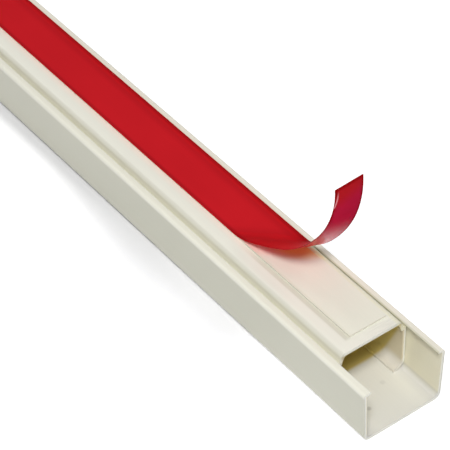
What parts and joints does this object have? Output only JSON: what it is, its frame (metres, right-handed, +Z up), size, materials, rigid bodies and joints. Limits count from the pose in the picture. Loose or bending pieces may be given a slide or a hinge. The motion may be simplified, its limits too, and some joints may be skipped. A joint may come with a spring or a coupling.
{
  "type": "cord cover raceway",
  "caption": "Length of cream snap-together cord raceway lying on its cover, its adhesive-backed base held inside and the red liner peeled back at one end.",
  "frame": {"origin": "middle of the cover's flat underside, halfway along the cover's length", "axes": "+X across the channel, +Y along it away from the end with the peeled liner, +Z up towards the adhesive back"},
  "size_m": [0.0438, 0.4195, 0.0806],
  "materials": {
    "cover_pvc": "smooth satin cream extruded PVC",
    "base_pvc": "smooth satin cream extruded PVC",
    "tape": "off-white foam tape with a tacky clear adhesive face",
    "liner": "glossy red film"
  },
  "bodies": {
    "root": {"cover_channel": "cover_pvc", "base_channel": "base_pvc", "adhesive_tape": "tape", "release_liner": "liner"}
  },
  "joints": []
}
